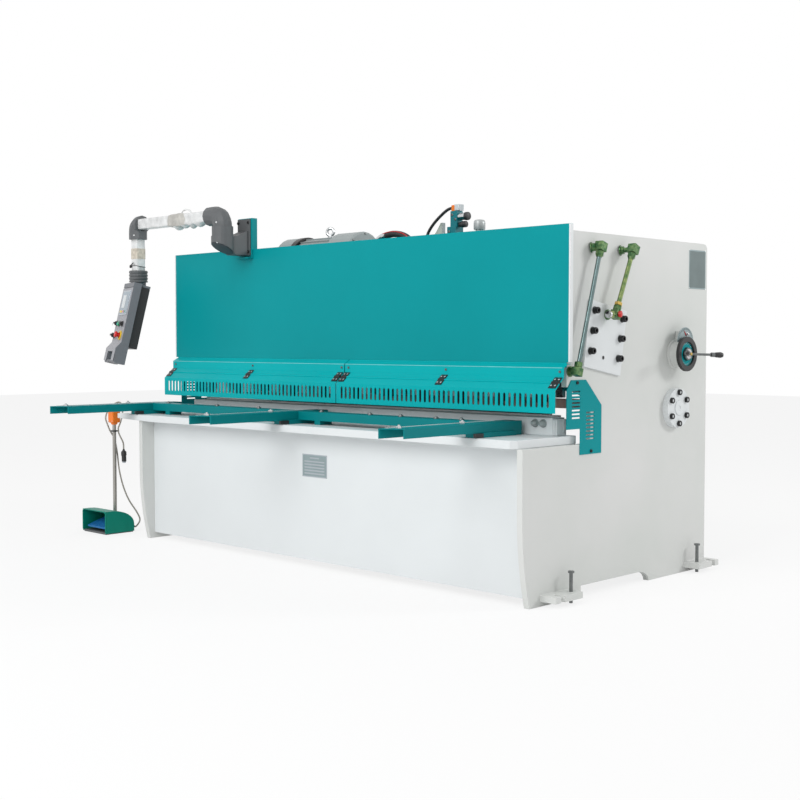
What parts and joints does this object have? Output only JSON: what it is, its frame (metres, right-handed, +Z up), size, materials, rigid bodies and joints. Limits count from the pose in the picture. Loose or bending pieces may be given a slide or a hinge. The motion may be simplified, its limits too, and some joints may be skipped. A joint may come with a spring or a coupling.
{
  "type": "swing beam shear",
  "caption": "Hydraulic swing beam shear for sheet metal, with slotted finger guards, support arms, a swivelling control pendant, a blade gap dial and a foot pedal.",
  "frame": {"origin": "on the floor under the middle of the machine's bounding box", "axes": "+X along the machine's width to the operator's right, +Y towards the back, +Z up"},
  "size_m": [3.4674, 1.975, 1.864],
  "materials": {
    "white_paint": "semi-gloss",
    "teal_paint": "semi-gloss",
    "bright_teal_paint": "semi-gloss",
    "bright_steel": "ground",
    "chrome": "polished",
    "zinc_plate": "yellow zinc plated",
    "black_plastic": "matte",
    "grey_paint": "satin",
    "white_wrap": "crinkled film",
    "green_plastic": "semi-gloss",
    "blue_rubber": "ribbed",
    "orange_plastic": "semi-gloss",
    "red_plastic": "glossy",
    "cable_sheath": "matte"
  },
  "bodies": {
    "frame": {"bed_beam": "white_paint", "bed_web": "white_paint", "breather_can": "chrome", "cable_tie": "black_plastic", "dial_ring": "black_plastic", "front_apron": "white_paint", "front_cover": "teal_paint", "hold_down_beam": "teal_paint", "left_arm": "teal_paint", "left_cross_bar": "teal_paint", "left_cylinder": "grey_paint", "left_cylinder_plate": "white_paint", "left_front_jack": "bright_steel", "left_front_pipe": "zinc_plate", "left_guard_header": "bright_teal_paint", "left_pivot_flange": "white_paint", "left_rear_jack": "bright_steel", "left_rear_pipe": "zinc_plate", "left_side_guard": "bright_teal_paint", "left_side_plate": "white_paint", "lower_blade": "bright_steel", "middle_arm": "teal_paint", "motor": "grey_paint", "oil_tank": "teal_paint", "pedal_base": "grey_paint", "pedal_cord": "cable_sheath", "pedal_hood": "green_plastic", "pedal_plug": "black_plastic", "pedal_pole": "chrome", "pendant_base": "grey_paint", "pendant_bracket": "teal_paint", "right_arm": "teal_paint", "right_cross_bar": "teal_paint", "right_cylinder": "grey_paint", "right_cylinder_plate": "white_paint", "right_front_jack": "bright_steel", "right_front_pipe": "zinc_plate", "right_guard_header": "bright_teal_paint", "right_pivot_flange": "white_paint", "right_rear_jack": "bright_steel", "right_rear_pipe": "zinc_plate", "right_side_guard": "bright_teal_paint", "right_side_plate": "white_paint", "stop_box": "orange_plastic", "table_slab": "white_paint", "valve_stack": "teal_paint"},
    "swing_beam": {"swing_beam": "teal_paint", "upper_blade": "bright_steel"},
    "left_guard": {"left_guard_flap": "bright_teal_paint"},
    "right_guard": {"right_guard_flap": "bright_teal_paint"},
    "gap_handle": {"gap_handle": "chrome"},
    "pendant_arm": {"pendant_arm_swivel": "grey_paint", "pendant_arm_tube": "white_wrap", "pendant_outer_elbow": "grey_paint", "pendant_drop_tube": "white_wrap"},
    "control_box": {"pendant_collar": "grey_paint", "control_box": "grey_paint", "control_box_rear": "black_plastic"},
    "stop_button": {"stop_button": "red_plastic"},
    "pedal_tread": {"pedal_tread": "blue_rubber"}
  },
  "joints": [
    {"name": "beam_swing", "type": "hinge", "parent": "frame", "child": "swing_beam", "pos_m": [0.15877, 0.6885, 0.812], "axis": [1, 0, 0], "range_deg": [0, 6.7]},
    {"name": "left_guard_lift", "type": "hinge", "parent": "frame", "child": "left_guard", "pos_m": [-0.52873, -0.2395, 0.953], "axis": [-1, 0, 0], "range_deg": [0, 100]},
    {"name": "right_guard_lift", "type": "hinge", "parent": "frame", "child": "right_guard", "pos_m": [0.89427, -0.2395, 0.953], "axis": [-1, 0, 0], "range_deg": [0, 100]},
    {"name": "gap_handle_turn", "type": "hinge", "parent": "frame", "child": "gap_handle", "pos_m": [1.59507, 0.6975, 1.071], "axis": [1, 0, 0], "range_deg": [-60, 60]},
    {"name": "pendant_arm_swing", "type": "hinge", "parent": "frame", "child": "pendant_arm", "pos_m": [-0.61123, -0.3475, 1.812], "axis": [0, 0, 1], "range_deg": [0, 110]},
    {"name": "control_box_turn", "type": "hinge", "parent": "pendant_arm", "child": "control_box", "pos_m": [-1.41123, -0.3475, 1.478], "axis": [0, 0, 1], "range_deg": [-70, 50]},
    {"name": "stop_button_press", "type": "slide", "parent": "control_box", "child": "stop_button", "axis": [0.3333, 0.9156, -0.225], "range_m": [0, 0.004], "stiffness_N_per_m": 1500, "springref_m": -0.003},
    {"name": "pedal_press", "type": "hinge", "parent": "frame", "child": "pedal_tread", "pos_m": [-1.61123, -0.4135, 0.06597], "axis": [1, 0, 0], "range_deg": [0, 6], "stiffness_Nm_per_rad": 25, "springref_deg": -3.44}
  ]
}
